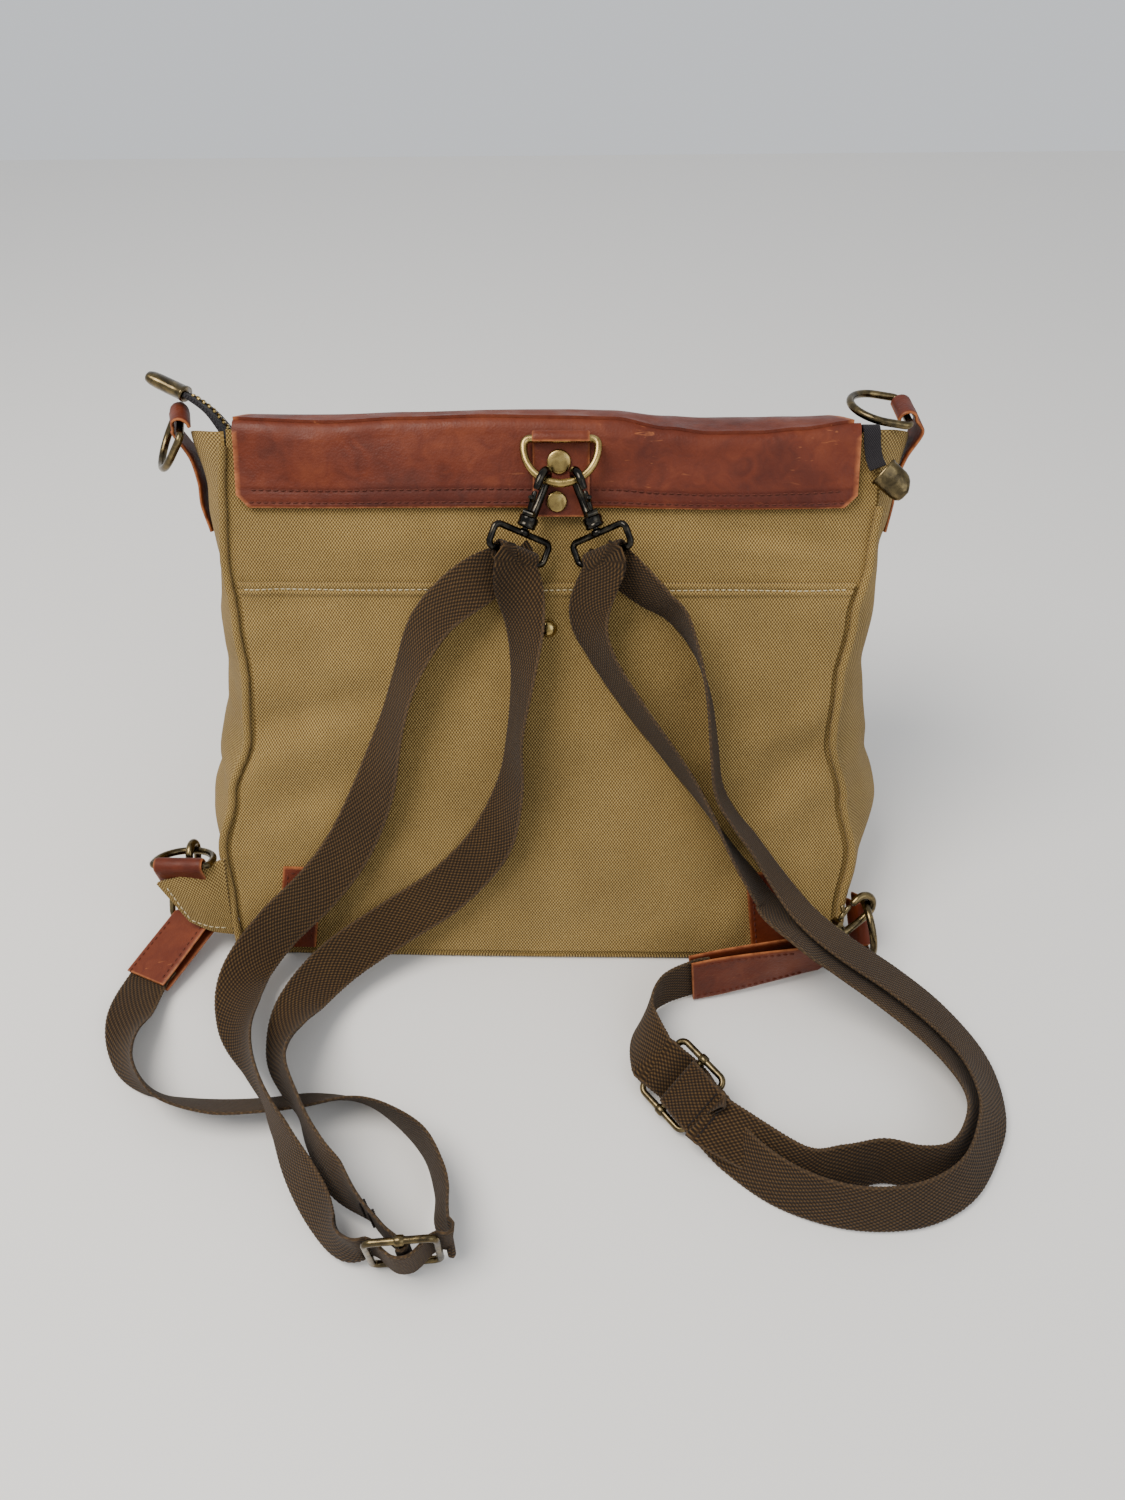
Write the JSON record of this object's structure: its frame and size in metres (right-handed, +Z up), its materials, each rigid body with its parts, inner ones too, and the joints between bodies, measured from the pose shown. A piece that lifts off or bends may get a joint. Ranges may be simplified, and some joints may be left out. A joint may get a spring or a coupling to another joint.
{
  "type": "messenger bag",
  "caption": "Canvas and leather messenger bag with a front flap, zipped mouth, metal rings and two webbing straps on swivel hooks, standing on its base and leaning back.",
  "frame": {"origin": "middle of the bag's base, on the floor it stands on", "axes": "+Z up; +X along the bag's width, to the right when one looks at its back panel; -Y is the side the back panel and the straps face, and the bag leans back towards +Y"},
  "size_m": [0.4396, 0.3699, 0.2591],
  "materials": {
    "canvas": "coarse khaki canvas, matte",
    "lining": "plain dark brown lining cloth",
    "board": "plain stiffening board",
    "leather": "cognac brown pull-up leather, scuffed",
    "webbing": "taupe brown cotton webbing, ribbed twill",
    "zip_tape": "black zip tape",
    "brass": "antique brass, worn",
    "gunmetal": "dark antique brass plating, rubbed bright on the edges"
  },
  "bodies": {
    "bag": {"back_panel": "canvas", "back_pocket": "canvas", "back_pocket_snap": "brass", "base_board": "board", "bottom_panel": "canvas", "front_panel": "canvas", "gusset_left": "canvas", "gusset_right": "canvas", "lining": "lining", "front_pocket": "canvas", "seam_welt_left": "canvas", "seam_welt_right": "canvas", "flap_back_strip": "leather", "centre_tab": "leather", "centre_rivet_top": "brass", "centre_rivet_bottom": "brass", "lower_patch_left": "leather", "lower_patch_right": "leather", "side_tab_left": "leather", "side_tab_right": "leather", "corner_tab_left": "leather", "corner_tab_right": "leather", "zip_tape_back": "zip_tape", "zip_tape_front": "zip_tape", "zip_teeth": "brass", "zip_tail_left": "zip_tape", "zip_tail_right": "zip_tape", "zip_cap_left": "brass", "zip_cap_right": "brass", "webbing_left": "webbing", "webbing_right": "webbing", "strap_end_left": "leather", "strap_end_right": "leather", "slider_left": "gunmetal", "slider_right": "gunmetal", "top_hook_left_eye": "gunmetal", "top_hook_right_eye": "gunmetal", "bottom_hook_left_eye": "gunmetal", "bottom_hook_right_eye": "gunmetal"},
    "flap": {"flap": "leather", "closure_strap_left": "leather", "closure_strap_right": "leather", "closure_buckle_left": "brass", "closure_buckle_right": "brass"},
    "zip_slider": {"zip_slider": "brass"},
    "zip_pull": {"zip_pull": "brass"},
    "centre_ring": {"centre_ring": "brass"},
    "side_ring_left": {"side_ring_left": "gunmetal"},
    "side_ring_right": {"side_ring_right": "gunmetal"},
    "corner_ring_left": {"corner_ring_left": "gunmetal"},
    "corner_ring_right": {"corner_ring_right": "gunmetal"},
    "top_hook_left": {"top_hook_left_body": "gunmetal"},
    "top_hook_right": {"top_hook_right_body": "gunmetal"},
    "bottom_hook_left": {"bottom_hook_left_body": "gunmetal"},
    "bottom_hook_right": {"bottom_hook_right_body": "gunmetal"},
    "top_gate_left": {"top_hook_left_gate": "gunmetal"},
    "top_gate_right": {"top_hook_right_gate": "gunmetal"},
    "bottom_gate_left": {"bottom_hook_left_gate": "gunmetal"},
    "bottom_gate_right": {"bottom_hook_right_gate": "gunmetal"}
  },
  "joints": [
    {"name": "flap_hinge", "type": "hinge", "parent": "bag", "child": "flap", "pos_m": [0, 0.05834, 0.24692], "axis": [1, 0, 0], "range_deg": [0, 150]},
    {"name": "zip_slide", "type": "slide", "parent": "bag", "child": "zip_slider", "axis": [-1, 0, 0], "range_m": [0, 0.246]},
    {"name": "zip_pull_hinge", "type": "hinge", "parent": "zip_slider", "child": "zip_pull", "pos_m": [0.132, 0.07862, 0.2312], "axis": [0, 0.891, -0.454], "range_deg": [0, 7]},
    {"name": "centre_ring_swing", "type": "hinge", "parent": "bag", "child": "centre_ring", "pos_m": [0.0095, 0.04886, 0.24277], "axis": [1, 0, 0], "range_deg": [-3, 3]},
    {"name": "side_ring_left_swing", "type": "hinge", "parent": "bag", "child": "side_ring_left", "pos_m": [-0.1806, 0.07898, 0.23841], "axis": [-0.3011, 0.9536, 0], "range_deg": [-20, 75]},
    {"name": "side_ring_right_swing", "type": "hinge", "parent": "bag", "child": "side_ring_right", "pos_m": [0.176, 0.07898, 0.24191], "axis": [0, 1, 0], "range_deg": [0, 195]},
    {"name": "corner_ring_left_swing", "type": "hinge", "parent": "bag", "child": "corner_ring_left", "pos_m": [-0.1885, -0.0503, 0.054], "axis": [1, 0, 0], "range_deg": [-2.5, 1.2]},
    {"name": "corner_ring_right_swing", "type": "hinge", "parent": "bag", "child": "corner_ring_right", "pos_m": [0.1687, -0.0518, 0.017], "axis": [-0.1598, 0.4294, 0.8888], "range_deg": [-2.5, 1.5]},
    {"name": "top_hook_left_swivel", "type": "hinge", "parent": "bag", "child": "top_hook_left", "pos_m": [-0.007, 0.0221, 0.2105], "axis": [0.3565, 0.5251, 0.7728], "range_deg": [-5, 5]},
    {"name": "top_hook_right_swivel", "type": "hinge", "parent": "bag", "child": "top_hook_right", "pos_m": [0.026, 0.02214, 0.21048], "axis": [-0.3566, 0.5239, 0.7735], "range_deg": [-5, 5]},
    {"name": "bottom_hook_left_swivel", "type": "hinge", "parent": "bag", "child": "bottom_hook_left", "pos_m": [-0.1885, -0.04449, 0.02534], "axis": [0, 0.5519, 0.8339], "range_deg": [-5, 5]},
    {"name": "bottom_hook_right_swivel", "type": "hinge", "parent": "bag", "child": "bottom_hook_right", "pos_m": [0.14902, -0.06756, 0.02403], "axis": [0.7369, 0.5103, 0.4434], "range_deg": [-5, 5]},
    {"name": "top_gate_left_hinge", "type": "hinge", "parent": "top_hook_left", "child": "top_gate_left", "pos_m": [-0.00495, 0.02274, 0.21948], "axis": [-0.9178, 0.3515, 0.1845], "range_deg": [0, 28], "stiffness_Nm_per_rad": 0.01, "springref_deg": -17.19},
    {"name": "top_gate_right_hinge", "type": "hinge", "parent": "top_hook_right", "child": "top_gate_right", "pos_m": [0.02395, 0.02277, 0.21946], "axis": [-0.9177, -0.3517, -0.1848], "range_deg": [0, 28], "stiffness_Nm_per_rad": 0.01, "springref_deg": -17.19},
    {"name": "bottom_gate_left_hinge", "type": "hinge", "parent": "bottom_hook_left", "child": "bottom_gate_left", "pos_m": [-0.1885, -0.04391, 0.03455], "axis": [-1, 0, 0], "range_deg": [0, 28], "stiffness_Nm_per_rad": 0.01, "springref_deg": -17.19},
    {"name": "bottom_gate_right_hinge", "type": "hinge", "parent": "bottom_hook_right", "child": "bottom_gate_right", "pos_m": [0.15245, -0.06328, 0.03145], "axis": [-0.4114, 0.859, -0.3048], "range_deg": [0, 28], "stiffness_Nm_per_rad": 0.01, "springref_deg": -17.19}
  ]
}
